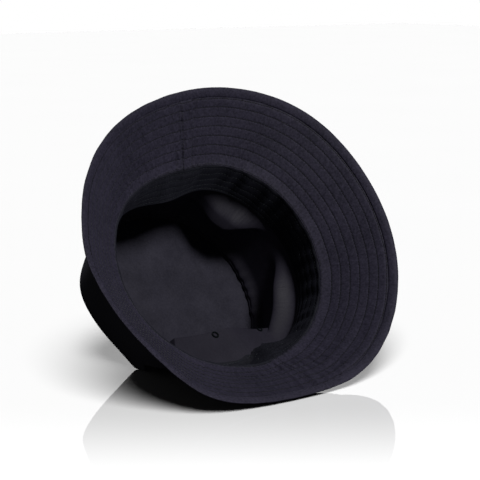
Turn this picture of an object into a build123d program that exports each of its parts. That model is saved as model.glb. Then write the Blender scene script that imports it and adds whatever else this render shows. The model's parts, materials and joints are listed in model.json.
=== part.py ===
from build123d import *
from math import cos, hypot, radians, sin
import os

# A lined bucket hat with a quilted brim, lying on its side on the floor (z = 0), sizes in millimetres.
# Stations run along the hat's own axis: 0 at the crown's top, growing towards the open mouth.
# Layers are stacked through the wall: an offset is how far a layer lies outside the pattern surface.

# Driving dimensions.
head_length = 194.0
head_width = 179.0
tip_length = 152.0
tip_width = 162.0
crown_height = 79.0
brim_drop = 41.0
brim_reach_ends = 43.5
brim_reach_sides = 37.5
sweatband_width = 28.0
quilting_rows = 7
eyelet_hole = 5.0
eyelet_spacing = 40.0
eyelet_station = 44.0

# How the hat lies: its axis leans up from the floor, and it has rolled a little about that axis.
lean = radians(33.7)
roll = radians(15.0)
press = 0.6

# The fold that the floor pushes up into the crown's lower side, a hipped ridge between the side walls.
fold_height = 25.0
fold_foot = (128.0, 58.0)
fold_foot_centre = (2.0, -4.0)
fold_crest = (86.0, 4.0)
fold_crest_centre = (5.0, 4.0)
fold_spread = 1.27
below = -10.0

# Cloth and thread.
shell_cloth = 0.8
lining_cloth = 0.5
tape = 0.7
thread = 0.5
seam_width = 8.0
joint_gap = 0.2

# Offsets of the crown's layers, from the outside in.
tape_face = -1.1
lining_face = -2.6
sweatband_face = -3.5
sweatband_cloth = 1.1
sweatband_back = sweatband_face - sweatband_cloth

# Offsets of the brim's layers, measured across the hat, from the outside in.
brim_cloth = 1.1
padding_face = -0.3
padding = 1.9
under_face = padding_face - padding - 0.3
under_back = under_face - brim_cloth
thread_gap = 0.4
edge_face = 1.8
edge_back = under_back - 0.7

mouth = crown_height + brim_drop
row_step = brim_drop / (quilting_rows + 1)
edge_start = mouth - row_step
far = 400.0


def support(length, width, along, across):
    """How far an ellipse reaches in a direction with these parts along its length and its width."""
    return hypot(length / 2 * along, width / 2 * across)


brim_length = head_length + 2 * brim_reach_ends
brim_width = head_width + 2 * brim_reach_sides
mouth_length = brim_length + 2 * edge_face
mouth_width = brim_width + 2 * edge_face
lift = support(mouth_length, mouth_width, sin(roll) * cos(lean), cos(roll) * cos(lean))
front = support(mouth_length, mouth_width, sin(roll) * sin(lean), cos(roll) * sin(lean))
back = support(tip_length, tip_width, sin(roll) * sin(lean), cos(roll) * sin(lean))

hat = Plane(
    origin=(0, (mouth * cos(lean) + front - back) / 2, lift - mouth * sin(lean) - press),
    x_dir=(cos(roll), sin(roll) * sin(lean), sin(roll) * cos(lean)),
    z_dir=(0, -cos(lean), sin(lean)),
)
side_seams = Plane(origin=hat.origin, x_dir=hat.y_dir, z_dir=hat.x_dir)


def half_axes(station, offset):
    """The hat's cross-section: half its length and half its width, crown or brim."""
    if station <= crown_height:
        share = station / crown_height
        length = tip_length + (head_length - tip_length) * share
        width = tip_width + (head_width - tip_width) * share
    else:
        share = (station - crown_height) / brim_drop
        length = head_length + 2 * brim_reach_ends * share
        width = head_width + 2 * brim_reach_sides * share
    return length / 2 + offset, width / 2 + offset


def fold(depth):
    """The room under the crown's fold, as the layer at this depth through the wall sees it."""
    foot = fold_spread * depth
    with BuildPart() as ridge:
        with BuildSketch(Plane(origin=(*fold_foot_centre, foot))):
            Rectangle(*fold_foot)
        with BuildSketch(Plane(origin=(*fold_crest_centre, foot + fold_height))):
            Rectangle(*fold_crest)
        loft(ruled=True)
        with BuildSketch(Plane(origin=(*fold_foot_centre, below))):
            Rectangle(*fold_foot)
        extrude(amount=foot - below)
    return ridge.part


def filled(start, stop, offset, floor):
    """The solid inside one surface of the hat between two stations, over the floor and the fold."""
    with BuildPart() as body:
        with BuildSketch(hat.offset(start)):
            Ellipse(*half_axes(start, offset))
        with BuildSketch(hat.offset(stop)):
            Ellipse(*half_axes(stop, offset))
        loft(ruled=True)
        split(bisect_by=Plane.XY.offset(floor), keep=Keep.TOP)
        if start < crown_height:
            add(fold(-offset), mode=Mode.SUBTRACT)
    return body.part


def layer(start, stop, face, back_face, floor=None, inner_floor=None):
    """A layer of cloth round the hat, lying flat where the floor crushes the crown."""
    floor = max(0.0, -face) if floor is None else floor
    inner_floor = floor + face - back_face if inner_floor is None else inner_floor
    with BuildPart() as cloth:
        add(filled(start, stop, face, floor))
        add(filled(start, stop, back_face, inner_floor), mode=Mode.SUBTRACT)
    return cloth.part


def disc(station, thickness, offset, floor):
    """A flat oval of cloth across the hat, cut where the floor crushes the crown."""
    with BuildPart() as oval:
        with BuildSketch(hat.offset(station)):
            Ellipse(*half_axes(station, offset))
        extrude(amount=thickness)
        split(bisect_by=Plane.XY.offset(floor), keep=Keep.TOP)
    return oval.part


def half(whole, keep):
    """The front or back half of a layer, cut along the side seams."""
    with BuildPart() as panel:
        add(whole)
        split(bisect_by=side_seams, keep=keep)
    return panel.part


def strips(whole, centres, width):
    """Straight strips of a layer, along the hat's axis, at these distances from the side seams."""
    with BuildPart() as cut:
        add(whole)
        with BuildSketch(hat):
            with Locations(*[(centre, 0) for centre in centres]):
                Rectangle(width, far)
        extrude(amount=mouth + seam_width, mode=Mode.INTERSECT)
    return cut.part


def eyelet_pegs(radius):
    """Round pegs through both sides of the crown, one on either side of each side seam."""
    with BuildPart() as pegs:
        with BuildSketch(Plane(origin=hat.origin, x_dir=hat.x_dir, z_dir=hat.y_dir)):
            with Locations(*[(side * eyelet_spacing / 2, -eyelet_station) for side in (-1, 1)]):
                Circle(radius)
        extrude(amount=far / 2, both=True)
    return pegs.part


def pierced(whole, radius):
    """A layer with the eyelet holes through it."""
    with BuildPart() as cloth:
        add(whole)
        add(eyelet_pegs(radius), mode=Mode.SUBTRACT)
    return cloth.part


def rings(stations, face, back_face, floor=None, inner_floor=None):
    """Rows of stitching round the hat, one fine ring at each station."""
    with BuildPart() as rows:
        for station in stations:
            low, high = station - thread / 2, station + thread / 2
            add(layer(low, high, face, back_face, floor, inner_floor))
    return rows.part


def save(name, solid):
    """Labels one finished piece and writes it under its node's name."""
    solid.label = name
    export_step(solid, f"parts/{name}.step")


os.makedirs("parts", exist_ok=True)
eyelet_rim = eyelet_hole / 2 + 2.0

# The crown: an oval tip and two side panels, joined at the side seams.
save("crown_tip", disc(0, shell_cloth, 0, 0))
crown_wall = pierced(
    layer(shell_cloth + joint_gap, crown_height - joint_gap, 0, -shell_cloth), eyelet_rim + joint_gap
)
save("crown_side_front", half(crown_wall, Keep.TOP))
save("crown_side_back", half(crown_wall, Keep.BOTTOM))

# Seam allowances between the crown and its lining.
tape_start = shell_cloth + 2 * joint_gap
tape_end = tape_start + seam_width
save("tip_seam_allowance", layer(tape_start, tape_end, tape_face, tape_face - tape))
binding_start = crown_height - seam_width
save(
    "head_seam_binding",
    layer(binding_start, crown_height - joint_gap, tape_face, tape_face - tape),
)
seam_strips = layer(
    tape_end + joint_gap, binding_start - joint_gap, tape_face, tape_face - tape
)
save("side_seam_allowances", strips(seam_strips, [0], 1.5 * seam_width))

# The lining: an oval tip and two side panels that hang just inside the crown.
lining_start = shell_cloth - lining_face
save("tip_lining", disc(lining_start, lining_cloth, lining_face, -lining_face))
lining_wall = pierced(
    layer(
        lining_start + lining_cloth + joint_gap,
        crown_height - 2 * joint_gap,
        lining_face,
        lining_face - lining_cloth,
    ),
    eyelet_rim + joint_gap,
)
save("side_lining_front", half(lining_wall, Keep.TOP))
save("side_lining_back", half(lining_wall, Keep.BOTTOM))

# The sweatband, a wide folded strip round the mouth of the crown.
sweatband_start = crown_height - sweatband_width
save(
    "sweatband",
    layer(sweatband_start, crown_height - 2 * joint_gap, sweatband_face, sweatband_back),
)
row_gap = sweatband_width / 5
sweatband_rows = [sweatband_start + row_gap * (row + 0.5) for row in range(4)]
save(
    "sweatband_stitching",
    rings(sweatband_rows, sweatband_back - thread_gap / 2, sweatband_back - thread_gap / 2 - thread),
)

# The brim: top cloth, padding and quilted under cloth, with a rolled edge.
brim_start = crown_height + joint_gap
brim_end = edge_start - joint_gap
brim_top = layer(brim_start, brim_end, brim_cloth, 0, 0, 0)
save("brim_top_front", half(brim_top, Keep.TOP))
save("brim_top_back", half(brim_top, Keep.BOTTOM))
save(
    "brim_padding",
    layer(brim_start, brim_end, padding_face, padding_face - padding, 0, 0),
)
brim_under = layer(brim_start, brim_end, under_face, under_back, 0, 0)
save("brim_under_front", half(brim_under, Keep.TOP))
save("brim_under_back", half(brim_under, Keep.BOTTOM))
save("brim_edge_roll", layer(edge_start, mouth, edge_face, edge_back, 0, 0))

# Stitching: quilting rows on both faces of the brim, and double rows along the seams.
brim_rows = [crown_height + row_step * (row + 1) for row in range(quilting_rows - 1)]
under_thread = under_back - thread_gap
save("brim_quilting_under", rings(brim_rows, under_thread, under_thread - thread, 0, -1))
top_thread = brim_cloth + thread_gap + thread
save("brim_quilting_top", rings(brim_rows, top_thread, top_thread - thread, 0, -1))
seam_thread = under_thread - thread - joint_gap
brim_seam_layer = layer(brim_start + 1, brim_end - 1, seam_thread, seam_thread - thread, 0, 0)
save("brim_seam_stitching", strips(brim_seam_layer, [-3, 3], thread))
outer_thread = thread_gap / 2 + thread
save(
    "tip_seam_stitching",
    rings([3.0, 6.0], outer_thread, outer_thread - thread, 0, -1),
)
save(
    "head_seam_stitching",
    rings([crown_height - 3.0, crown_height - 6.0], outer_thread, outer_thread - thread, 0, -1),
)
crown_seam_layer = layer(8, crown_height - 8, outer_thread, outer_thread - thread, 0, -1)
save("side_seam_stitching", strips(crown_seam_layer, [-3, 3], thread))

# Embroidered ventilation eyelets that hold the crown and its lining together.
eyelet_back = lining_face - lining_cloth - joint_gap
with BuildPart() as eyelets:
    add(layer(eyelet_station - 10, eyelet_station + 10, thread_gap, eyelet_back, 0, -eyelet_back))
    add(eyelet_pegs(eyelet_rim), mode=Mode.INTERSECT)
    add(eyelet_pegs(eyelet_hole / 2), mode=Mode.SUBTRACT)
save("eyelets", eyelets.part)
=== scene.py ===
import json
import math

import bpy
import numpy as np
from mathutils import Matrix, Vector


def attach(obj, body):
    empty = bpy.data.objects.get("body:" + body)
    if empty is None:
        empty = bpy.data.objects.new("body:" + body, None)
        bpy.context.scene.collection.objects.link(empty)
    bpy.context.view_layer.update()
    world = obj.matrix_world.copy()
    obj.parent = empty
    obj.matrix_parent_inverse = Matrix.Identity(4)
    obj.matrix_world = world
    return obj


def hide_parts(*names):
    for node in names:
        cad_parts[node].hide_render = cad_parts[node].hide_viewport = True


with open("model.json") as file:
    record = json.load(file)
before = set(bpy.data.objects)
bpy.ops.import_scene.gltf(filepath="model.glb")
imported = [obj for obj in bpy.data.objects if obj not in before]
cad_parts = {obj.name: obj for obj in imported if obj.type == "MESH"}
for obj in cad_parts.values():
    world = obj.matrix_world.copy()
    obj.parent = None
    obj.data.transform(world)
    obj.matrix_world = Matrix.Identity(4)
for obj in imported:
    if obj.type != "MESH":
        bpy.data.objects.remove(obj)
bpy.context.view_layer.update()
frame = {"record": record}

# A lined bucket hat with a quilted brim, lying on its side on a pale floor with its open mouth showing.
# Every piece of cloth is a closed shell, worked out on a grid of angles round the hat and stations along
# its axis. No cloth is simulated: folds, puckers and billows are displacements of that grid.
# Shapes are in millimetres until a mesh is made; angles are in degrees, 90 at the hat's upper side seam.

MM = 0.001

# Sizes shared with the CAD model.
HEAD_LENGTH, HEAD_WIDTH = 194.0, 179.0
TIP_LENGTH, TIP_WIDTH = 152.0, 162.0
CROWN_HEIGHT = 79.0
BRIM_DROP = 41.0
BRIM_REACH_ENDS, BRIM_REACH_SIDES = 43.5, 37.5
SWEATBAND_WIDTH = 28.0
QUILTING_ROWS = 7
MOUTH = CROWN_HEIGHT + BRIM_DROP
EDGE_ROLL_HEIGHT = 4.0
EDGE_START = MOUTH - EDGE_ROLL_HEIGHT
ROLL = math.radians(15.0)

# The hat's own directions, from the head opening's mount.
opening = next(m for m in frame["record"]["mounts"] if m["name"] == "head_opening")
AXIS = np.array(opening["axis"]) / np.linalg.norm(opening["axis"])
LEAN = math.asin(AXIS[2])
SIDE = np.array(
    [math.cos(ROLL), math.sin(ROLL) * math.sin(LEAN), math.sin(ROLL) * math.cos(LEAN)]
)
UP = np.cross(AXIS, SIDE)
TIP_CENTRE = np.array(opening["pos_m"]) / MM - CROWN_HEIGHT * AXIS

# The side seams wander a little: angle at the brim's edge, at the head seam and at the tip.
UPPER_SEAM = (82.5, 79.0, 84.0)
LOWER_SEAM = (262.0, 266.0, 270.0)

# The fold that the floor pushes up into the crown: foot and crest of a ridge, in the row frame.
FOLD_LEFT_FOOT, FOLD_LEFT, FOLD_RIGHT, FOLD_RIGHT_FOOT = -62.0, -40.0, 52.0, 66.0
FOLD_FRONT_FOOT, FOLD_CREST, FOLD_BACK_FOOT = -33.0, 4.0, 25.0
FOLD_HEIGHT = 25.0
FOLD_SPREAD = 1.27
FLOOR_SOFTNESS = 1.2

# Where the cloth layers lie, measured across the hat from the pattern surface, outside positive.
SHELL, SHELL_BACK = 0.0, -0.8
TAPE, TAPE_BACK = -1.1, -1.8
LINING, LINING_BACK = -3.1, -2.6
SWEATBAND, SWEATBAND_BACK = -4.6, -3.6
BRIM_TOP, BRIM_TOP_BACK = 0.7, -0.1
PADDING, PADDING_BACK = -0.3, -1.2
UNDER, UNDER_BACK = -2.2, -1.4


def step(value, low, high):
    """0 below low, 1 above high and a soft rise between."""
    share = np.clip((value - low) / (high - low), 0, 1)
    return share * share * (3 - 2 * share)


def past(angle, centre):
    """How far an angle round the hat lies past a centre, from -180 to 180."""
    return (angle - centre + 180) % 360 - 180


def near(angle, centre, width, power=2):
    """1 at an angle round the hat, falling to nothing over this width on both sides."""
    return np.exp(-np.abs(past(angle, centre) / width) ** power)


def at(value, centre, width):
    """1 at a place along a line, falling to nothing over this width on both sides."""
    return np.exp(-(((value - centre) / width) ** 2))


HOLLOW = 0.25


def outwards(relief):
    """The same relief with its hollows filled, so that cloth bulges but sinks in by less than HOLLOW."""
    return 0.5 * (relief + np.sqrt(relief * relief + 4 * HOLLOW**2)) - HOLLOW


def random_field(around, across, along_size, across_size, seed, ripple=False):
    """Smooth random values on a ring of cloth, with features this many steps long.

    Ripples have no slow drift.
    """
    noise = np.random.default_rng(seed).standard_normal((around, across))
    u = np.fft.fftfreq(around)[:, None] * along_size
    v = np.fft.rfftfreq(across)[None, :] * across_size
    keep = np.exp(-8 * (u * u + v * v))
    if ripple:
        keep = keep * u * u
    field = np.fft.irfft2(np.fft.rfft2(noise) * keep, s=(around, across))
    field = field / field.std()
    return np.concatenate([field, field[:1]])


def half_axes(station):
    """Half the length and half the width of the hat's cross-section at each station."""
    crown = np.clip(station / CROWN_HEIGHT, 0, 1)
    brim = np.maximum(station - CROWN_HEIGHT, 0) / BRIM_DROP
    length = TIP_LENGTH / 2 + (HEAD_LENGTH - TIP_LENGTH) / 2 * crown
    width = TIP_WIDTH / 2 + (HEAD_WIDTH - TIP_WIDTH) / 2 * crown
    return length + BRIM_REACH_ENDS * brim, width + BRIM_REACH_SIDES * brim


def seam_angle(seam, station):
    """The angle of a side seam at a station."""
    brim = np.clip((station - CROWN_HEIGHT) / BRIM_DROP, 0, 1)
    crown = np.clip(station / CROWN_HEIGHT, 0, 1)
    at_edge, at_head, at_tip = seam
    return np.where(
        station > CROWN_HEIGHT,
        at_head + (at_edge - at_head) * brim,
        at_tip + (at_head - at_tip) * crown,
    )


def angles(turn, station):
    """Angles round the hat: turn runs from 0 at the upper seam through a half at the lower seam to 1."""
    upper = seam_angle(UPPER_SEAM, station)
    lower = seam_angle(LOWER_SEAM, station)
    first = upper + (lower - upper) * 2 * turn
    second = lower + (upper + 360 - lower) * (2 * turn - 1)
    return np.where(turn <= 0.5, first, second)


def out_of_round(angle, station):
    """How far the lying hat bulges or sags across its axis, away from the plain pattern."""
    brim = np.clip((station - CROWN_HEIGHT) / BRIM_DROP, 0, 1.1)
    flare = (
        4.4 * near(angle, 31, 24)
        + 5.2 * near(angle, 221, 15)
        + 2.4 * near(angle, 283, 26)
        + 1.6 * near(angle, 163, 10)
        - 1.8 * near(angle, 90, 20)
        - 3.0 * near(angle, 257, 16)
        - 1.5 * near(angle, 195, 18)
    )
    sag = 6.5 * near(angle, 84, 30) * at(station, CROWN_HEIGHT, 30)
    dent = 6.0 * near(angle, 193, 22) * (1 - step(station, 10, 75))
    bulge = 3.8 * near(angle, 150, 15) * (1 - step(station, 20, 70))
    return brim * flare - sag - dent + bulge


def ridge(x, y):
    """Height of the fold under the crown's lower side."""
    front = (y - FOLD_FRONT_FOOT) / (FOLD_CREST - FOLD_FRONT_FOOT)
    back = (FOLD_BACK_FOOT - y) / (FOLD_BACK_FOOT - FOLD_CREST)
    left = (x - FOLD_LEFT_FOOT) / (FOLD_LEFT - FOLD_LEFT_FOOT)
    right = (FOLD_RIGHT_FOOT - x) / (FOLD_RIGHT_FOOT - FOLD_RIGHT)
    slope = np.minimum(np.minimum(front, back), np.minimum(left, right))
    sway = 1 + 0.04 * np.sin(x / 13.0) - 0.19 * step(x, 6, 40)
    return FOLD_HEIGHT * np.clip(slope, 0, 1) * sway


def surface(angle, station, outward, depth=None):
    """Points of the lying hat at these angles and stations, this far outside the pattern surface.

    Where the cloth is pushed up, its layers stack in order of depth: how far in each lies, unless given.
    """
    angle, station, outward = np.broadcast_arrays(angle, station, outward)
    length, width = half_axes(station)
    reach = outward + out_of_round(angle, station)
    turn = np.radians(angle)
    points = (
        TIP_CENTRE
        + ((length + reach) * np.cos(turn))[..., None] * SIDE
        + ((width + reach) * np.sin(turn))[..., None] * UP
        + station[..., None] * AXIS
    )
    return settle(points, np.maximum(-outward, 0) if depth is None else depth)


def settle(points, depth):
    """Lays points that would sink into the floor, or into the fold, on top of it."""
    points = points.copy()
    ground = ridge(points[..., 0], points[..., 1])
    ground = ground + depth * np.where(ground > 0, FOLD_SPREAD, 1.0)
    gap = points[..., 2] - ground
    points[..., 2] = ground + 0.5 * (gap + np.sqrt(gap * gap + FLOOR_SOFTNESS**2))
    return points


def zipped(first, second, flip):
    """Triangles between two lines of vertices that run the same way."""
    triangles = []
    i = j = 0
    while i < len(first) - 1 or j < len(second) - 1:
        next_i = (i + 1) / (len(first) - 1) if i < len(first) - 1 else 2
        next_j = (j + 1) / (len(second) - 1) if j < len(second) - 1 else 2
        if next_i <= next_j:
            triangles.append((first[i], first[i + 1], second[j]))
            i += 1
        else:
            triangles.append((first[i], second[j + 1], second[j]))
            j += 1
    triangles = np.array(triangles)
    return triangles[:, ::-1] if flip else triangles


def grid_quads(around, across, start, wrap):
    """Quads of a grid of vertices that begins at this vertex number."""
    numbers = start + np.arange(around * across).reshape(around, across)
    if wrap:
        numbers = np.concatenate([numbers, numbers[:1]])
    corners = (numbers[:-1, :-1], numbers[1:, :-1], numbers[1:, 1:], numbers[:-1, 1:])
    return np.stack([c.ravel() for c in corners], 1), numbers


SHARP = math.radians(50)


def build(name, points, quads, triangles, texture, material):
    """Makes one smooth mesh piece from points in millimetres."""
    mesh = bpy.data.meshes.new(name)
    corners = np.concatenate([quads.ravel(), triangles.ravel()]).astype(np.int32)
    starts = np.concatenate(
        [
            np.arange(len(quads)) * 4,
            len(quads) * 4 + np.arange(len(triangles)) * 3,
        ]
    )
    mesh.vertices.add(len(points))
    mesh.vertices.foreach_set("co", (points * MM).astype(np.float32).ravel())
    mesh.loops.add(len(corners))
    mesh.loops.foreach_set("vertex_index", corners)
    mesh.polygons.add(len(starts))
    mesh.polygons.foreach_set("loop_start", starts.astype(np.int32))
    mesh.update(calc_edges=True)
    mesh.polygons.foreach_set("use_smooth", np.ones(len(starts), bool))
    mesh.set_sharp_from_angle(angle=SHARP)
    layer = mesh.uv_layers.new(name="cloth")
    layer.data.foreach_set("uv", texture[corners].astype(np.float32).ravel())
    mesh.materials.append(material)
    piece = bpy.data.objects.new(name, mesh)
    bpy.context.scene.collection.objects.link(piece)
    return piece


def shell(name, face, back, material, wrap=False, centre=False):
    """A closed piece of cloth from its face and its back, both grids of points round and across."""
    around, across, _ = face.shape
    face_quads, face_numbers = grid_quads(around, across, 0, wrap)
    back_quads, back_numbers = grid_quads(around, back.shape[1], around * across, wrap)
    edges = [zipped(face_numbers[:, -1], back_numbers[:, -1], False)]
    points = np.concatenate([face.reshape(-1, 3), back.reshape(-1, 3)])
    texture = np.concatenate([flat_map(face), flat_map(back)])
    if centre:
        hub = len(points)
        points = np.concatenate([points, [face[:, 0].mean(0)], [back[:, 0].mean(0)]])
        texture = np.concatenate([texture, np.zeros((2, 2))])
        rim = face_numbers[:, 0]
        edges.append(np.stack([rim[1:], rim[:-1], np.full(around, hub)], 1))
        rim = back_numbers[:, 0]
        edges.append(np.stack([rim[:-1], rim[1:], np.full(around, hub + 1)], 1))
    else:
        edges.append(zipped(face_numbers[:, 0], back_numbers[:, 0], True))
    if not wrap:
        edges.append(zipped(face_numbers[0], back_numbers[0], False))
        edges.append(zipped(face_numbers[-1], back_numbers[-1], True))
    quads = np.concatenate([face_quads, back_quads[:, ::-1]])
    triangles = np.concatenate(edges)
    corners = points[np.concatenate([quads[:, [0, 1, 2]], quads[:, [0, 2, 3]], triangles])]
    volume = np.einsum("ij,ij->i", corners[:, 0], np.cross(corners[:, 1], corners[:, 2])).sum()
    if volume < 0:
        quads, triangles = quads[:, ::-1], triangles[:, ::-1]
    return build(name, points, quads, triangles, texture, material)


def flat_map(grid):
    """Texture places in millimetres over a grid: round the hat, and across it."""
    round_way = np.linalg.norm(np.diff(grid, axis=0), axis=2).mean(1)
    cross_way = np.linalg.norm(np.diff(grid, axis=1), axis=2).mean(0)
    u = np.concatenate([[0], np.cumsum(round_way)])
    v = np.concatenate([[0], np.cumsum(cross_way)])
    return np.stack(np.broadcast_arrays(u[:, None], v[None, :]), 2).reshape(-1, 2)


def tube(name, rings, material):
    """A closed ring of cloth whose section is a closed loop at each angle."""
    around, across, _ = rings.shape
    numbers = np.arange(around * across).reshape(around, across)
    numbers = np.concatenate([numbers, numbers[:1]])
    numbers = np.concatenate([numbers, numbers[:, :1]], 1)
    corners = (numbers[:-1, :-1], numbers[1:, :-1], numbers[1:, 1:], numbers[:-1, 1:])
    quads = np.stack([c.ravel() for c in corners], 1)
    points = rings.reshape(-1, 3)
    ends = points[quads]
    volume = np.einsum("ij,ij->i", ends[:, 0], np.cross(ends[:, 1], ends[:, 2])).sum()
    if volume < 0:
        quads = quads[:, ::-1]
    no_triangles = np.zeros((0, 3), int)
    return build(name, points, quads, no_triangles, flat_map(rings), material)


# One stitch: rings of a rounded thread, as shares of its half length and half thickness.
STITCH_SIDES = 6
STITCH_PLACES = (-0.86, -0.45, 0.45, 0.86)
STITCH_FULLNESS = (0.62, 1.0, 1.0, 0.62)


def stitch_template():
    """Points and faces of one stitch, along X, one unit to each end."""
    turn = np.arange(STITCH_SIDES) / STITCH_SIDES * 2 * math.pi
    points = [(-1.0, 0.0, 0.0), (1.0, 0.0, 0.0)]
    for place, full in zip(STITCH_PLACES, STITCH_FULLNESS):
        points += [(place, full * math.cos(t), full * math.sin(t)) for t in turn]
    quads, triangles = [], []
    rings = len(STITCH_PLACES)
    for side in range(STITCH_SIDES):
        after = (side + 1) % STITCH_SIDES
        for ring in range(rings - 1):
            low, high = 2 + ring * STITCH_SIDES, 2 + (ring + 1) * STITCH_SIDES
            quads.append((low + side, high + side, high + after, low + after))
        last = 2 + (rings - 1) * STITCH_SIDES
        triangles.append((0, 2 + side, 2 + after))
        triangles.append((1, last + after, last + side))
    return np.array(points), np.array(quads), np.array(triangles)


STITCH = stitch_template()


def evenly(path, pitch, wrap):
    """Places and directions at even spacing along a line of points."""
    if wrap:
        path = np.concatenate([path, path[:1]])
    lengths = np.concatenate([[0], np.cumsum(np.linalg.norm(np.diff(path, axis=0), axis=1))])
    count = max(2, round(lengths[-1] / pitch))
    middles = (np.arange(count) + 0.5) / count * lengths[-1]
    half = 0.5 * lengths[-1] / count
    behind = [np.interp(middles - half, lengths, path[:, k]) for k in range(3)]
    ahead = [np.interp(middles + half, lengths, path[:, k]) for k in range(3)]
    behind, ahead = np.stack(behind, 1), np.stack(ahead, 1)
    return (behind + ahead) / 2, ahead - behind


def unit(vectors):
    """The same directions, one unit long."""
    return vectors / np.linalg.norm(vectors, axis=-1, keepdims=True)


def sew(name, rows, material, pitch=2.6, thick=0.24, lift=0.05):
    """Rows of separate stitches, each row a line of points, the points' outer sides and whether it closes."""
    points, quads, triangles = [], [], []
    total = 0
    for path, outer, wrap in rows:
        centres, along = evenly(path, pitch, wrap)
        nearest = np.argmin(
            np.linalg.norm(centres[:, None, :] - path[None, ::3, :], axis=2), axis=1
        )
        normal = unit(outer[::3][nearest])
        half = 0.42 * along
        across = unit(np.cross(normal, along))
        normal = unit(np.cross(along, across))
        shape, four, three = STITCH
        placed = (
            (centres + lift * normal)[:, None, :]
            + shape[None, :, :1] * half[:, None, :]
            + shape[None, :, 1:2] * thick * across[:, None, :]
            + shape[None, :, 2:] * thick * 0.8 * normal[:, None, :]
        )
        offsets = total + np.arange(len(centres))[:, None, None] * len(shape)
        points.append(placed.reshape(-1, 3))
        quads.append((four[None] + offsets).reshape(-1, 4))
        triangles.append((three[None] + offsets).reshape(-1, 3))
        total += len(centres) * len(shape)
    points = np.concatenate(points)
    texture = points[:, :2]
    return build(
        name, points, np.concatenate(quads), np.concatenate(triangles), texture, material
    )


def normals_of(grid, toward):
    """Unit normals of a grid of points, on the side that faces this way at each point."""
    round_way = np.gradient(grid, axis=0)
    cross_way = np.gradient(grid, axis=1)
    normal = unit(np.cross(round_way, cross_way))
    flip = np.sign((normal * toward).sum(-1, keepdims=True))
    return normal * np.where(flip == 0, 1, flip)


def place(piece, nodes, slot):
    """A finished piece rides on the hat and stands for its CAD nodes, which are hidden; the slot is not used.
    """
    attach(piece, "root")
    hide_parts(*nodes)
    return piece


# Materials. Each is a woven cloth or a thread with its colours, weave, creases and gloss; some colours are
# painted light or shade, as said where they are set.


class Nodes:
    """Adds shader nodes to one material."""

    def __init__(self, name):
        self.material = bpy.data.materials.new(name)
        self.material.use_nodes = True
        self.tree = self.material.node_tree
        self.shader = self.tree.nodes["Principled BSDF"]

    def add(self, kind, **settings):
        node = self.tree.nodes.new("ShaderNode" + kind)
        for key, value in settings.items():
            setattr(node, key, value)
        return node

    def link(self, source, output, target, entry):
        self.tree.links.new(source.outputs[output], target.inputs[entry])


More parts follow.
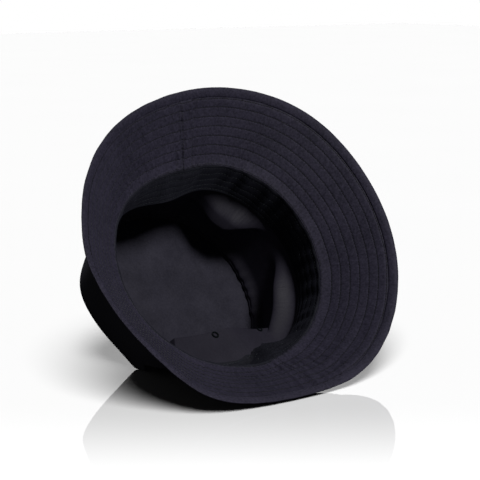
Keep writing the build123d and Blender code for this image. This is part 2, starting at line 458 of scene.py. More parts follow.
def fabric(
    name,
    low,
    high,
    mottle,
    grain_share,
    weave_pitch,
    weave_depth,
    fuzz,
    roughness,
    specular,
    sheen,
    crease_depth,
):
    """A woven cloth: two colours that drift into each other, a weave of fine threads, and a soft sheen."""
    nodes = Nodes(name)
    where = nodes.add("TexCoord")
    drift = nodes.add("TexNoise", noise_dimensions="3D")
    drift.inputs["Scale"].default_value = mottle
    drift.inputs["Detail"].default_value = 6.0
    drift.inputs["Roughness"].default_value = 0.62
    nodes.link(where, "Object", drift, "Vector")
    ramp = nodes.add("ValToRGB")
    ramp.color_ramp.elements[0].position = 0.34
    ramp.color_ramp.elements[0].color = (*low, 1)
    ramp.color_ramp.elements[1].position = 0.68
    ramp.color_ramp.elements[1].color = (*high, 1)
    grain = nodes.add("TexNoise", noise_dimensions="3D")
    grain.inputs["Scale"].default_value = 650.0
    grain.inputs["Detail"].default_value = 2.0
    nodes.link(where, "Object", grain, "Vector")
    blend = nodes.add("Mix", data_type="FLOAT")
    blend.inputs["Factor"].default_value = grain_share
    nodes.link(drift, "Fac", blend, "A")
    nodes.link(grain, "Fac", blend, "B")
    nodes.link(blend, "Result", ramp, "Fac")
    nodes.link(ramp, "Color", nodes.shader, "Base Color")
    threads = []
    for direction in ("X", "Y"):
        wave = nodes.add("TexWave", wave_type="BANDS", bands_direction=direction)
        wave.inputs["Scale"].default_value = 0.314 / weave_pitch
        wave.inputs["Distortion"].default_value = 0.6
        wave.inputs["Detail"].default_value = 1.0
        nodes.link(where, "UV", wave, "Vector")
        threads.append(wave)
    weave = nodes.add("Math", operation="MULTIPLY")
    nodes.link(threads[0], "Fac", weave, 0)
    nodes.link(threads[1], "Fac", weave, 1)
    creases = nodes.add("TexNoise", noise_dimensions="2D")
    creases.inputs["Scale"].default_value = 1.0
    creases.inputs["Detail"].default_value = 2.0
    stretch = nodes.add("Mapping")
    stretch.inputs["Scale"].default_value = (0.5, 0.1, 1.0)
    nodes.link(where, "UV", stretch, "Vector")
    nodes.link(stretch, "Vector", creases, "Vector")
    crease_bump = nodes.add("Bump")
    crease_bump.inputs["Strength"].default_value = 0.6
    crease_bump.inputs["Distance"].default_value = crease_depth * MM
    nodes.link(creases, "Fac", crease_bump, "Height")
    weave_bump = nodes.add("Bump")
    nodes.link(crease_bump, "Normal", weave_bump, "Normal")
    weave_bump.inputs["Strength"].default_value = 0.5
    weave_bump.inputs["Distance"].default_value = weave_depth * MM
    nodes.link(weave, "Value", weave_bump, "Height")
    slub = nodes.add("TexNoise", noise_dimensions="3D")
    slub.inputs["Scale"].default_value = 900.0
    slub.inputs["Detail"].default_value = 3.0
    nodes.link(where, "Object", slub, "Vector")
    fuzz_bump = nodes.add("Bump")
    fuzz_bump.inputs["Strength"].default_value = 0.6
    fuzz_bump.inputs["Distance"].default_value = fuzz * MM
    nodes.link(slub, "Fac", fuzz_bump, "Height")
    nodes.link(weave_bump, "Normal", fuzz_bump, "Normal")
    nodes.link(fuzz_bump, "Normal", nodes.shader, "Normal")
    wear = nodes.add("TexNoise", noise_dimensions="3D")
    wear.inputs["Scale"].default_value = 60.0
    wear.inputs["Detail"].default_value = 4.0
    nodes.link(where, "Object", wear, "Vector")
    gloss = nodes.add("MapRange")
    gloss.inputs["To Min"].default_value = roughness - 0.07
    gloss.inputs["To Max"].default_value = roughness + 0.07
    nodes.link(wear, "Fac", gloss, "Value")
    nodes.link(gloss, "Result", nodes.shader, "Roughness")
    nodes.shader.inputs["Specular IOR Level"].default_value = specular
    nodes.shader.inputs["Sheen Weight"].default_value = sheen
    nodes.shader.inputs["Sheen Roughness"].default_value = 0.5
    nodes.shader.inputs["Sheen Tint"].default_value = (0.7, 0.7, 1.0, 1)
    return nodes.material


def thread_material(name, low, high, roughness, specular):
    """Twisted sewing thread."""
    nodes = Nodes(name)
    where = nodes.add("TexCoord")
    drift = nodes.add("TexNoise", noise_dimensions="3D")
    drift.inputs["Scale"].default_value = 250.0
    drift.inputs["Detail"].default_value = 2.0
    nodes.link(where, "Object", drift, "Vector")
    ramp = nodes.add("ValToRGB")
    ramp.color_ramp.elements[0].color = (*low, 1)
    ramp.color_ramp.elements[1].color = (*high, 1)
    nodes.link(drift, "Fac", ramp, "Fac")
    nodes.link(ramp, "Color", nodes.shader, "Base Color")
    twist = nodes.add("TexWave", wave_type="BANDS", bands_direction="DIAGONAL")
    twist.inputs["Scale"].default_value = 900.0
    nodes.link(where, "Object", twist, "Vector")
    bump = nodes.add("Bump")
    bump.inputs["Strength"].default_value = 0.5
    bump.inputs["Distance"].default_value = 0.08 * MM
    nodes.link(twist, "Fac", bump, "Height")
    nodes.link(bump, "Normal", nodes.shader, "Normal")
    nodes.shader.inputs["Roughness"].default_value = roughness
    nodes.shader.inputs["Specular IOR Level"].default_value = specular
    return nodes.material


brim_nylon = fabric(
    "brim_nylon",
    low=(0.017, 0.0155, 0.027),
    high=(0.047, 0.042, 0.070),
    mottle=26.0, grain_share=0.65, weave_pitch=0.55, weave_depth=0.06, fuzz=0.12,
    roughness=0.62, specular=0.15, sheen=0.05, crease_depth=0.8,
)
# The outer nylon is the same cloth as brim_nylon, given much darker colours: painted shade for the outside of
# the hat, which lies in shadow.
shell_nylon = fabric(
    "shell_nylon",
    low=(0.010, 0.010, 0.014),
    high=(0.014, 0.014, 0.019),
    mottle=26.0, grain_share=0.5, weave_pitch=0.55, weave_depth=0.06, fuzz=0.08,
    roughness=0.6, specular=0.12, sheen=0.05, crease_depth=0.4,
)
# The tip lining and the side lining are one satin: the tip's colours are made lighter, painted light where it
# faces the lamp, and the side's darker, painted shade on the walls in the crown.
tip_satin_painted_light = fabric(
    "tip_satin_painted_light",
    low=(0.034, 0.032, 0.050),
    high=(0.072, 0.068, 0.098),
    mottle=55.0, grain_share=0.35, weave_pitch=0.4, weave_depth=0.03, fuzz=0.10,
    roughness=0.6, specular=0.15, sheen=0.05, crease_depth=0.1,
)
side_satin_painted_shade = fabric(
    "side_satin_painted_shade",
    low=(0.034, 0.031, 0.047),
    high=(0.054, 0.050, 0.073),
    mottle=22.0, grain_share=0.3, weave_pitch=0.4, weave_depth=0.03, fuzz=0.05,
    roughness=0.45, specular=0.3, sheen=0.0, crease_depth=0.25,
)
band_cloth = fabric(
    "band_cloth",
    low=(0.010, 0.0105, 0.017),
    high=(0.022, 0.0225, 0.034),
    mottle=90.0, grain_share=0.6, weave_pitch=0.7, weave_depth=0.10, fuzz=0.14,
    roughness=0.7, specular=0.2, sheen=0.05, crease_depth=0.6,
)
tape_cloth = fabric(
    "tape_cloth",
    low=(0.012, 0.012, 0.016),
    high=(0.020, 0.020, 0.026),
    mottle=60.0, grain_share=0.6, weave_pitch=0.8, weave_depth=0.15, fuzz=0.12,
    roughness=0.7, specular=0.2, sheen=0.05, crease_depth=0.2,
)
wadding = fabric(
    "wadding",
    low=(0.30, 0.30, 0.32),
    high=(0.42, 0.42, 0.44),
    mottle=120.0, grain_share=0.5, weave_pitch=1.5, weave_depth=0.3, fuzz=0.5,
    roughness=0.9, specular=0.1, sheen=0.2, crease_depth=0.5,
)
thread = thread_material("thread", (0.022, 0.022, 0.030), (0.034, 0.033, 0.046), 0.5, 0.35)
pale_thread = thread_material("pale_thread", (0.026, 0.032, 0.042), (0.042, 0.050, 0.062), 0.5, 0.3)
dark_thread = thread_material("dark_thread", (0.008, 0.008, 0.012), (0.016, 0.016, 0.022), 0.5, 0.3)
eyelet_thread = thread_material("eyelet_thread", (0.003, 0.006, 0.009), (0.006, 0.011, 0.015), 0.5, 0.2)

# The grid round the hat: turn 0 at the upper side seam, a half at the lower one.
AROUND = 1080
BACK_HALF = slice(0, AROUND // 2 + 1)
FRONT_HALF = slice(AROUND // 2, AROUND + 1)
turns = np.linspace(0, 1, AROUND + 1)[:, None]


def beside_seam(turn, station):
    """Millimetres round the hat past the nearest side seam, negative before it."""
    length, width = half_axes(station)
    return math.pi * (length + width) * ((turn + 0.25) % 0.5 - 0.25)


# The upper seam's allowance is topstitched down this many grid rings before the seam.
TOPSTITCH_RINGS = 18


def seam_gap(turn, station):
    """Distance in millimetres round the hat from the nearest side seam."""
    return np.abs(beside_seam(turn, station))


def distance_to_rows(place_across, intervals):
    """0 on a quilting row, 1 midway between two rows."""
    return np.abs(np.sin(math.pi * intervals * place_across))


# The brim: quilted cloth on both sides of soft padding, with a puffed roll round its edge.
STEPS_PER_ROW = 14
ACROSS_BRIM = QUILTING_ROWS * STEPS_PER_ROW + 1
brim_share = np.linspace(0, 1, ACROSS_BRIM)[None, :]
brim_station = CROWN_HEIGHT + 0.15 + (EDGE_START - CROWN_HEIGHT - 0.15) * brim_share
brim_angle = angles(turns, brim_station)
upper_half = np.where(np.abs(turns - 0.5) > 0.25, 1.0, 0.0)
beside = beside_seam(turns, brim_station)
beside_topstitch = beside_seam(turns + TOPSTITCH_RINGS / AROUND, brim_station)
seam_near = upper_half * at(beside, -2, 13) + (1 - upper_half) * at(beside, 14, 26)
between_rows = distance_to_rows(brim_share, QUILTING_ROWS)
PUFF, PUCKER = 0.5, 0.20


def quilted(seed):
    """How far quilted cloth stands up from its stitching: soft ribs, fine puckers and the side seams."""
    fine = random_field(AROUND, ACROSS_BRIM, 5, 14, seed, ripple=True)
    crinkle = random_field(AROUND, ACROSS_BRIM, 4, 4, seed + 3, ripple=True)
    coarse = random_field(AROUND, ACROSS_BRIM, 26, 46, seed + 1, ripple=True)
    slow = random_field(AROUND, ACROSS_BRIM, 160, 120, seed + 2)
    rib = 0.2 * between_rows + 0.8 * (1 - np.exp(-((between_rows / 0.17) ** 2)))
    folds = random_field(AROUND, ACROSS_BRIM, 34, 9, seed + 4)
    rumple = near(brim_angle, 262, 42)
    pucker = fine * (0.4 + 0.5 * between_rows) * (1 + 1.8 * seam_near) + 0.2 * crinkle
    pucker = pucker + 0.5 * coarse * (1 + seam_near) + 2.2 * folds * rumple
    allowance = 0.35 * (1 - step(np.abs(beside + 5.8 * upper_half), 5.6, 7.0))
    groove = 0.9 * at(beside, 0, 0.9) * (1 - 0.8 * rumple)
    topstitch = 0.7 * at(beside_topstitch, 0, 0.9) * upper_half
    puff = PUFF * (1 - 0.7 * near(brim_angle, 235, 60, 4)) * rib
    return puff + PUCKER * pucker + 0.10 * slow + allowance - groove - topstitch


# The hidden backs of the brim's cloths have coarser grids. The under cloth lifts off at the head seam.
UNDER_BACK_COLUMNS = slice(None, None, STEPS_PER_ROW // 2)
TOP_BACK_COLUMNS = slice(None, None, STEPS_PER_ROW)
HEM_PITCH = 0.0205
HEAD_LIFT = 2.0
under_rise = quilted(11)
edge_groove = 0.85 + 0.35 * near(brim_angle, 15, 60)
hem_shown = near(brim_angle, 55, 75, 4)
hem_rows = at(brim_share % HEM_PITCH, HEM_PITCH / 2, 0.005) * (brim_share < 2 * HEM_PITCH)
hem = 0.4 * hem_shown * hem_rows
edge_dip = edge_groove * step(brim_share, 0.955, 0.995)
under_dip = edge_dip - hem
head_lift = HEAD_LIFT * (1 - step(brim_share, 0, 1 / QUILTING_ROWS))
under_face = surface(brim_angle, brim_station, UNDER - under_rise + under_dip - head_lift)
under_back = surface(
    brim_angle[:, UNDER_BACK_COLUMNS],
    brim_station[:, UNDER_BACK_COLUMNS],
    UNDER_BACK + (edge_dip - head_lift)[:, UNDER_BACK_COLUMNS],
)
top_rise = quilted(21)
top_dip = 0.5 * step(brim_share, 0.985, 1.0) + 0.8 * (1 - step(brim_share, 0, 0.02))
top_face = surface(brim_angle, brim_station, BRIM_TOP + top_rise - top_dip)
top_back = surface(brim_angle[:, TOP_BACK_COLUMNS], brim_station[:, TOP_BACK_COLUMNS], BRIM_TOP_BACK)

for side, half in (("front", FRONT_HALF), ("back", BACK_HALF)):
    under = shell(f"brim_under_{side}", under_face[half], under_back[half], brim_nylon)
    place(under, [f"brim_under_{side}"], "shell_nylon")
    top = shell(f"brim_top_{side}", top_face[half], top_back[half], shell_nylon)
    place(top, [f"brim_top_{side}"], "shell_nylon")

PAD_START, PAD_STOP, PAD_COLUMNS = CROWN_HEIGHT + 1.5, EDGE_START - 4.0, 18
pad_station = np.linspace(PAD_START, PAD_STOP, PAD_COLUMNS)[None, :]
pad_angle = angles(turns[:-1:3], pad_station)
padding = shell(
    "brim_padding",
    surface(pad_angle, pad_station, PADDING),
    surface(pad_angle, pad_station, PADDING_BACK),
    wadding,
    wrap=True,
)
place(padding, ["brim_padding"], "padding")

# The rolled edge, sewn along the outermost row of quilting.
ROLL_STEPS = 28
section = np.arange(ROLL_STEPS)[None, :] / ROLL_STEPS * 2 * math.pi
roll_along = np.sign(np.cos(section)) * np.abs(np.cos(section)) ** 0.8
roll_across = np.sign(np.sin(section)) * np.abs(np.sin(section)) ** 0.8
roll_turns = turns[:-1]
roll_ripple = random_field(AROUND, ROLL_STEPS, 12, 14, 31, ripple=True)[:-1]
roll_slow = random_field(AROUND, ROLL_STEPS, 120, 30, 32)[:-1]
roll_swell = 1 + 0.045 * roll_ripple + 0.03 * roll_slow
ROLL_MIDDLE, ROLL_HALF_HEIGHT = EDGE_START + 2.0, 2.3
ROLL_LEVEL, ROLL_HALF_THICKNESS = -0.8, 1.9
roll_station = ROLL_MIDDLE + ROLL_HALF_HEIGHT * roll_along
roll_angle = angles(roll_turns, roll_station)
edge_roll = tube(
    "brim_edge_roll",
    surface(roll_angle, roll_station, ROLL_LEVEL + ROLL_HALF_THICKNESS * roll_across * roll_swell),
    brim_nylon,
)
place(edge_roll, ["brim_edge_roll"], "shell_nylon")

# The crown's outer cloth: two side panels with soft creases, and an oval tip.
ACROSS_CROWN = 91
crown_share = np.linspace(0, 1, ACROSS_CROWN)[None, :]
crown_station = 0.6 + (CROWN_HEIGHT - 0.6) * crown_share
crown_angle = angles(turns, crown_station)
crown_slow = random_field(AROUND, ACROSS_CROWN, 150, 110, 41)
crown_crease = random_field(AROUND, ACROSS_CROWN, 60, 60, 42, ripple=True)
crown_fine = random_field(AROUND, ACROSS_CROWN, 12, 20, 43, ripple=True)
crown_seam = np.exp(-((seam_gap(turns, crown_station) / 1.0) ** 2))
tip_pull = np.exp(-crown_station / 3.0) + np.exp(-(CROWN_HEIGHT - crown_station) / 3.0)
crown_rise = outwards(0.5 * crown_slow + 0.35 * crown_crease + 0.24 * crown_fine * tip_pull)
crown_rise = crown_rise - 0.3 * crown_seam
crown_hold = step(crown_share, 0, 0.06) * (1 - step(crown_share, 0.95, 1.0))
crown_face = surface(crown_angle, crown_station, SHELL + crown_rise * crown_hold)
crown_back = surface(
    crown_angle[:, ::6], crown_station[:, ::6], SHELL_BACK + (crown_rise * crown_hold)[:, ::6]
)
for side, half in (("front", FRONT_HALF), ("back", BACK_HALF)):
    panel = shell(f"crown_side_{side}", crown_face[half], crown_back[half], shell_nylon)
    place(panel, [f"crown_side_{side}"], "shell_nylon")


def oval(name, station, thickness, inset, relief, material):
    """A flat oval of cloth across the hat, its middle at the first station, with soft dents."""
    rings = 70
    around = AROUND // 2
    share = np.linspace(0.02, 1, rings)[None, :]
    angle = angles(np.linspace(0, 1, around + 1)[:-1, None], station)
    length, width = half_axes(np.array(station))
    dents = random_field(around, rings, 90, 40, 51)[:-1]
    fine = random_field(around, rings, 14, 14, 52, ripple=True)[:-1]
    dented = dents * 0.8 * step(share, 0, 0.35) + fine * 0.12 * step(share, 0.5, 0.8)
    height = relief * dented * (1 - share**8)

    def layer(level):
        reach = (np.array(station) + level + height) * np.ones_like(share)
        turn = np.radians(angle)
        dent = out_of_round(angle, station) * share**4
        points = (
            TIP_CENTRE
            + ((length - inset + dent) * share * np.cos(turn))[..., None] * SIDE
            + ((width - inset + dent) * share * np.sin(turn))[..., None] * UP
            + reach[..., None] * AXIS
        )
        return settle(points, np.full(points.shape[:-1], float(station + level)))

    return shell(name, layer(thickness), layer(0.0), material, wrap=True, centre=True)


crown_tip = oval("crown_tip", 0.0, 0.8, 0.0, 0.5, shell_nylon)
place(crown_tip, ["crown_tip"], "shell_nylon")
TIP_LINING_STATION, TIP_LINING_INSET = 3.4, 7.0
tip_lining = oval("tip_lining", TIP_LINING_STATION, 0.5, TIP_LINING_INSET, 0.8, tip_satin_painted_light)
place(tip_lining, ["tip_lining"], "lining_satin")

# Seam allowances and tape between the crown and its lining.


def ribbon(name, start, stop, turn, wrap):
    """A strip of tape round the crown or along it, just inside the outer cloth."""
    station = np.linspace(start, stop, 9)[None, :]
    angle = angles(turn, station)
    face = surface(angle, station, TAPE)
    back = surface(angle, station, TAPE_BACK)
    return shell(name, face, back, tape_cloth, wrap=wrap)


TIP_TAPE, HEAD_TAPE, SIDE_TAPE = (1.4, 9.4), (71.2, 79.2), (9.8, 70.2)
tip_allowance = ribbon("tip_seam_allowance", *TIP_TAPE, turns[:-1:2], True)
place(tip_allowance, ["tip_seam_allowance"], "seam_tape")
head_binding = ribbon("head_seam_binding", *HEAD_TAPE, turns[:-1:2], True)
place(head_binding, ["head_seam_binding"], "seam_tape")
SIDE_TAPE_TURN = 0.0105
for number, seam_turn in enumerate((0.0, 0.5)):
    strip_turns = np.linspace(seam_turn - SIDE_TAPE_TURN, seam_turn + SIDE_TAPE_TURN, 13)[:, None] % 1
    station = np.linspace(*SIDE_TAPE, 60)[None, :]
    angle = angles(strip_turns, station)
    strip = shell(
        f"side_seam_allowance_{number}",
        surface(angle, station, TAPE),
        surface(angle, station, TAPE_BACK),
        tape_cloth,
    )
    place(strip, ["side_seam_allowances"], "seam_tape")

# The side lining: satin that gathers at the tip, billows inwards on the right and folds over the ridge.
# Its slack stays near the wall where the sweatband hangs in front of it.
ACROSS_LINING = 121
lining_share = np.linspace(0, 1, ACROSS_LINING)[None, :]
lining_station = TIP_LINING_STATION + 0.5 + (CROWN_HEIGHT - 5.4) * lining_share
lining_angle = angles(turns, lining_station)


def billow(centre, width, tall, mouth_side, crest, tip_side, power=4):
    """A billow of slack lining: it ramps inwards from the mouth's side to a crest, then drops away."""
    straight = np.clip((mouth_side - lining_station) / (mouth_side - crest), 0, 1)
    ramp = 0.5 * straight + 0.5 * (1 - step(lining_station, crest, mouth_side))
    drop = step(lining_station, tip_side, crest)
    return tall * near(lining_angle, centre, width, power) * ramp * drop


upper_crest = 36 + 0.6 * np.clip(-past(lining_angle, 28), 0, 26)
lower_foot = 50 + 0.36 * np.clip(-past(lining_angle, 338), 0, 50)
gathers = random_field(AROUND, ACROSS_LINING, 11, 60, 61, ripple=True)
slack = random_field(AROUND, ACROSS_LINING, 130, 60, 62)
gather_depth = 1 - step(lining_station, 4, 15)
inward = (
    (TIP_LINING_INSET + LINING) * gather_depth
    + 2.2 * near(lining_angle, 355, 42, 4) * at(lining_station, 8, 3.5)
    + 0.6 * gathers * gather_depth * step(lining_station, 4.5, 7)
    - 0.8 * at(lining_station, 4.6, 0.5)
    - 0.8 * at(lining_station, 6.6, 0.5)
    + billow(31, 18, 20.0, mouth_side=64, crest=upper_crest, tip_side=upper_crest - 9, power=3)
    + billow(357, 10, 5.0, mouth_side=66, crest=57, tip_side=52)
    + billow(315, 30, 14.0, mouth_side=lower_foot + 4, crest=42, tip_side=31)
    + HOLLOW
    + outwards(0.6 * slack) * step(lining_station, 10, 25) * (1 - step(lining_station, 60, 76))
)
SLACK_BEHIND_BAND = 0.35
behind_sweatband = step(lining_station, 42, 53)
inward = inward + (np.minimum(inward, SLACK_BEHIND_BAND) - inward) * behind_sweatband
lining_face = surface(lining_angle, lining_station, LINING - inward, -LINING)
lining_back = surface(
    lining_angle[:, ::4], lining_station[:, ::4], LINING_BACK - inward[:, ::4], -LINING_BACK
)
for side, half in (("front", FRONT_HALF), ("back", BACK_HALF)):
    panel = shell(f"side_lining_{side}", lining_face[half], lining_back[half], side_satin_painted_shade)
    place(panel, [f"side_lining_{side}"], "lining_satin")

# The sweatband: sewn at the head seam, free at its other edge, hanging away from the wall at the top.
ACROSS_BAND = 61
band_share = np.linspace(0, 1, ACROSS_BAND)[None, :]
BAND_ROWS = (0.12, 0.34, 0.56, 0.78, 0.95)
head_angle = angles(turns, np.array(CROWN_HEIGHT))
band_lean = np.radians(
    30 * near(head_angle, 84, 27) + 30 * near(head_angle, 274, 13)
)
band_width = SWEATBAND_WIDTH * (
    1 - 0.16 * near(head_angle, 315, 60) - 0.14 * near(head_angle, 130, 28)
)
band_ripple = random_field(AROUND, ACROSS_BAND, 15, 40, 71, ripple=True)
band_buckle = random_field(AROUND, ACROSS_BAND, 42, 60, 72, ripple=True)
band_rows_rib = np.min([np.abs(band_share - row) for row in BAND_ROWS], axis=0)
band_rib = 1 - np.exp(-((band_rows_rib / 0.035) ** 2))
flap = near(head_angle, 274, 17)
FLAP_PITCH, FLAP_TWIST = 3.6, 11.0
flap_ridges = np.sin(
    2 * math.pi * (SWEATBAND_WIDTH * band_share / FLAP_PITCH + head_angle / FLAP_TWIST)
    + 0.8 * band_buckle
)
band_rise = (
    (0.45 * band_ripple + 0.35 * band_buckle) * np.sin(math.pi * band_share**0.7)
    + (0.8 - 0.55 * near(head_angle, 10, 50)) * band_rib
    + 1.1 * flap * flap_ridges * step(band_share, 0.1, 0.25)
    + 1.2 * near(head_angle, 315, 60) * np.sin(math.pi * band_share)
)
# The band starts this far past the head seam, where it is sewn in.
BAND_START = 0.1
band_reach = (band_width + BAND_START) * band_share


def band_layer(level, pick):
    """One side of the sweatband, this far outside the pattern surface."""
    reach = band_reach[:, pick]
    rise = (band_rise * step(band_share, 0.0, 0.035))[:, pick]
    station = CROWN_HEIGHT + BAND_START - reach * np.cos(band_lean) - rise * np.sin(band_lean)
    outward = level - reach * np.sin(band_lean) - rise * np.cos(band_lean)
    return surface(head_angle, station, outward, -level + 0.4 * rise)


band_face = band_layer(SWEATBAND, slice(None))
band_back = band_layer(SWEATBAND_BACK, slice(None, None, 4))
sweatband = shell("sweatband", band_face[:-1], band_back[:-1], band_cloth, wrap=True)
place(sweatband, ["sweatband"], "sweatband_cloth")

# Stitching, laid on the finished cloth.
axis_points = TIP_CENTRE + 100 * AXIS
under_normals = normals_of(under_face, axis_points - under_face)
top_normals = -normals_of(top_face, axis_points - top_face)
band_normals = normals_of(band_face, axis_points - band_face)
crown_normals = -normals_of(crown_face, axis_points - crown_face)

row_columns = [row * STEPS_PER_ROW for row in range(1, QUILTING_ROWS)] + [ACROSS_BRIM - 3]


def rows_on(grid, normals, columns):
    """Rows of stitching round the hat along these columns of a grid."""
    return [(grid[:-1, c], normals[:-1, c], True) for c in columns]


def lines_on(grid, normals, ring_numbers, start, stop):
    """Lines of stitching across the hat along these rings of a grid."""
    return [(grid[r, start:stop], normals[r, start:stop], False) for r in ring_numbers]


# The quilting on the under cloth uses dark_thread, darker than the cloth and drawn thick: painted shade along
# the stitched grooves.
quilting_under = sew(
    "brim_quilting_under",
    rows_on(under_face, under_normals, row_columns),
    dark_thread,
    thick=0.34,
    lift=0.2,
)
place(quilting_under, ["brim_quilting_under"], "thread")
quilting_top = sew("brim_quilting_top", rows_on(top_face, top_normals, row_columns), dark_thread)
place(quilting_top, ["brim_quilting_top"], "thread")
seam_rings = [2, AROUND - 2, AROUND // 2 - 2, AROUND // 2 + 2]
brim_seams = sew(
    "brim_seam_stitching",
    lines_on(under_face, under_normals, seam_rings + [AROUND - TOPSTITCH_RINGS], 2, ACROSS_BRIM - 4)
    + lines_on(top_face, top_normals, seam_rings, 2, ACROSS_BRIM - 4),
    thread,
)
place(brim_seams, ["brim_seam_stitching"], "thread")
band_columns = [round(row * (ACROSS_BAND - 1)) for row in BAND_ROWS]
band_stitches = sew(
    "sweatband_stitching", rows_on(band_face, band_normals, band_columns), pale_thread
)
place(band_stitches, ["sweatband_stitching"], "thread")
tip_stitches = sew(
    "tip_seam_stitching", rows_on(crown_face, crown_normals, [3]), dark_thread
)
place(tip_stitches, ["tip_seam_stitching"], "thread")
head_stitches = sew(
    "head_seam_stitching",
    rows_on(crown_face, crown_normals, [ACROSS_CROWN - 4])
    + rows_on(under_face, under_normals, [3]),
    thread,
)
place(head_stitches, ["head_seam_stitching"], "thread")
side_stitches = sew(
    "side_seam_stitching",
    lines_on(crown_face, crown_normals, seam_rings, 3, ACROSS_CROWN - 3),
    dark_thread,
)
place(side_stitches, ["side_seam_stitching"], "thread")

# Embroidered eyelets: short stitches wound closely round the middle of each eyelet, on both sides of the
# crown; the cloth under them is not cut.
EYELET_RADIUS = 3.1
EYELETS = ((76.8, 44.0), (103.2, 44.0), (251.8, 22.6), (286.4, 26.5))
EYELET_TURNS = 26


def eyelet_spokes(angle, middle, outward, facing):
    """The thread of one eyelet: points out from a ring round its middle, one spoke after another."""
    length, width = half_axes(np.array(middle))
    spokes = []
    for spoke in range(EYELET_TURNS):
        turn = spoke / EYELET_TURNS * 2 * math.pi
        radii = np.linspace(EYELET_RADIUS - 1.5, EYELET_RADIUS, 4)
        along = radii * math.cos(turn)
        girth = np.degrees(radii * math.sin(turn) / ((length + width) / 2))
        station = middle + along
        path = surface(angle + girth, station, outward)
        beyond = surface(angle + girth, station, outward + facing)
        spokes.append((path, unit(beyond - path), False))
    return spokes


spokes = []
for angle, middle in EYELETS:
    spokes += eyelet_spokes(angle, middle, LINING - 0.3, -1.0)
    spokes += eyelet_spokes(angle, middle, SHELL + 0.3, 1.0)
eyelets = sew("eyelets", spokes, eyelet_thread, pitch=2.0, thick=0.55)
place(eyelets, ["eyelets"], "thread")

# The floor. Its polish fades towards the front of the table, which is the side where the camera stands.
POLISH, POLISHED_TO, POLISH_GONE = 0.40, 0.09, 0.29
FRONT_OF_TABLE = (-0.60, -0.80, 0.0)
bpy.ops.mesh.primitive_plane_add(size=12, location=(0, 0, 0))
floor = bpy.context.object
floor.name = "floor"
floor_nodes = Nodes("floor")
floor_place = floor_nodes.add("TexCoord")
floor_noise = floor_nodes.add("TexNoise")
floor_noise.inputs["Scale"].default_value = 3.0
floor_nodes.link(floor_place, "Object", floor_noise, "Vector")
floor_ramp = floor_nodes.add("ValToRGB")
floor_ramp.color_ramp.elements[0].color = (0.90, 0.90, 0.90, 1)
floor_ramp.color_ramp.elements[1].color = (0.92, 0.92, 0.92, 1)
floor_nodes.link(floor_noise, "Fac", floor_ramp, "Fac")
matt = floor_nodes.add("BsdfDiffuse")
floor_nodes.link(floor_ramp, "Color", matt, "Color")
polish = floor_nodes.add("BsdfAnisotropic")
polish.inputs["Roughness"].default_value = 0.0
reach = floor_nodes.add("VectorMath", operation="DOT_PRODUCT")
reach.inputs[1].default_value = FRONT_OF_TABLE
floor_nodes.link(floor_place, "Object", reach, "Vector")
worn = floor_nodes.add("MapRange", interpolation_type="SMOOTHSTEP")
worn.inputs["From Min"].default_value = POLISHED_TO
worn.inputs["From Max"].default_value = POLISH_GONE
worn.inputs["To Min"].default_value = POLISH
worn.inputs["To Max"].default_value = 0.0
floor_nodes.link(reach, "Value", worn, "Value")
floor_mix = floor_nodes.add("MixShader")
floor_nodes.link(worn, "Result", floor_mix, "Fac")
floor_nodes.link(matt, "BSDF", floor_mix, 1)
floor_nodes.link(polish, "BSDF", floor_mix, 2)
floor_output = floor_nodes.tree.nodes["Material Output"]
floor_nodes.link(floor_mix, "Shader", floor_output, "Surface")
floor.data.materials.append(floor_nodes.material)
floor.visible_diffuse = False
floor.visible_glossy = False

# The backdrop is white where the camera sees it, directly or in the polish, and nearly dark as a light.
world = bpy.data.worlds.new("studio")
bpy.context.scene.world = world
world.use_nodes = True
background = world.node_tree.nodes["Background"]
background.inputs["Color"].default_value = (1, 1, 1, 1)
path_kind = world.node_tree.nodes.new("ShaderNodeLightPath")
seen = world.node_tree.nodes.new("ShaderNodeMath")
seen.operation = "MAXIMUM"
strength = world.node_tree.nodes.new("ShaderNodeMapRange")
strength.inputs["To Min"].default_value = 0.015
strength.inputs["To Max"].default_value = 1.0
world.node_tree.links.new(path_kind.outputs["Is Camera Ray"], seen.inputs[0])
world.node_tree.links.new(path_kind.outputs["Is Singular Ray"], seen.inputs[1])
world.node_tree.links.new(seen.outputs["Value"], strength.inputs["Value"])
world.node_tree.links.new(strength.outputs["Result"], background.inputs["Strength"])


def aim(thing, target):
    """Turns a light or the camera towards a point."""
    direction = Vector(target) - thing.location
    thing.rotation_euler = direction.to_track_quat("-Z", "Y").to_euler()


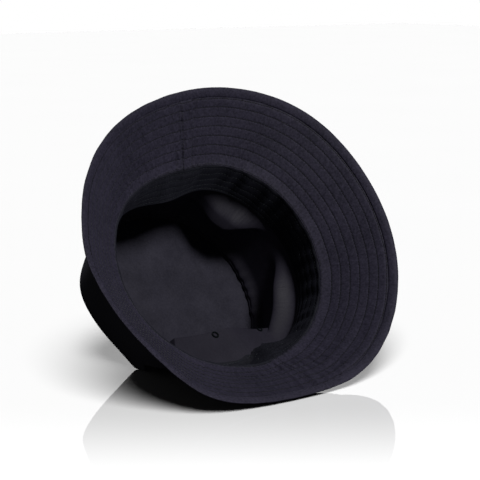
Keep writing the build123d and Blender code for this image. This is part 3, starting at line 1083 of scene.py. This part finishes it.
def softbox(name, azimuth, elevation, distance, size, power):
    """A square soft light at this bearing round the hat, facing it."""
    light = bpy.data.lights.new(name, "AREA")
    light.shape = "SQUARE"
    light.size = size
    light.energy = power
    lamp = bpy.data.objects.new(name, light)
    bpy.context.scene.collection.objects.link(lamp)
    a, e = math.radians(azimuth), math.radians(elevation)
    lamp.location = (
        distance * math.sin(a) * math.cos(e),
        -distance * math.cos(a) * math.cos(e),
        distance * math.sin(e) + 0.1,
    )
    aim(lamp, (0, 0, 0.1))
    lamp.visible_camera = False
    return lamp


def only_on(lamp, pieces):
    """Lets a light reach these objects only."""
    group = bpy.data.collections.new(f"{lamp.name}_receivers")
    for piece in pieces:
        group.objects.link(piece)
    lamp.light_linking.receiver_collection = group


# The lights. Most reach only some pieces; the ones on the outside are for views from the back and sides.
soft_pieces = [o for o in bpy.data.objects if o.type == "MESH" and o != floor]
key = softbox("key", 17, 50, 2.0, 0.6, 15.6)
only_on(key, [o for o in soft_pieces if not o.name.startswith("sweatband")])
brim_light = softbox("brim_light", 6, 16, 2.0, 0.8, 13.0)
only_on(brim_light, [o for o in soft_pieces if o.name.startswith(("brim_", "head_seam_st"))])
for name, bearing, height, power in (("band_light", 27, 8, 11.0), ("band_key", 32, 56, 13.0)):
    only_on(
        softbox(name, bearing, height, 2.0, 0.6, power),
        [o for o in soft_pieces if o.name.startswith("sweatband")],
    )
outside = [
    o
    for o in soft_pieces
    if o.name.startswith(
        ("crown_", "brim_top", "brim_quilting_top", "brim_edge_roll", "side_seam_st", "tip_seam_st")
    )
]
for name, bearing, height, power in (
    ("left_fill", -70, 28, 0.6),
    ("back_key", 150, 40, 22.0),
    ("back_fill", -135, 20, 3.0),
):
    only_on(softbox(name, bearing, height, 2.2, 1.4, power), outside)
sun = bpy.data.lights.new("floor_light", "SUN")
sun.energy = 4.5
sun.angle = math.radians(30)
floor_light = bpy.data.objects.new("floor_light", sun)
bpy.context.scene.collection.objects.link(floor_light)
floor_light.location = (-0.6, -1.0, 1.7)
aim(floor_light, (0, 0, 0))
only_on(floor_light, [floor])

# The camera.
camera_data = bpy.data.cameras.new("camera")
camera_data.lens = 112.5
camera_data.sensor_width = 36.0
camera = bpy.data.objects.new("camera", camera_data)
bpy.context.scene.collection.objects.link(camera)
camera.location = (-0.6770, -0.8945, 0.2983)
aim(camera, (0.025, 0.007, 0.0963))
bpy.context.scene.camera = camera
bpy.context.scene.view_settings.view_transform = "Standard"
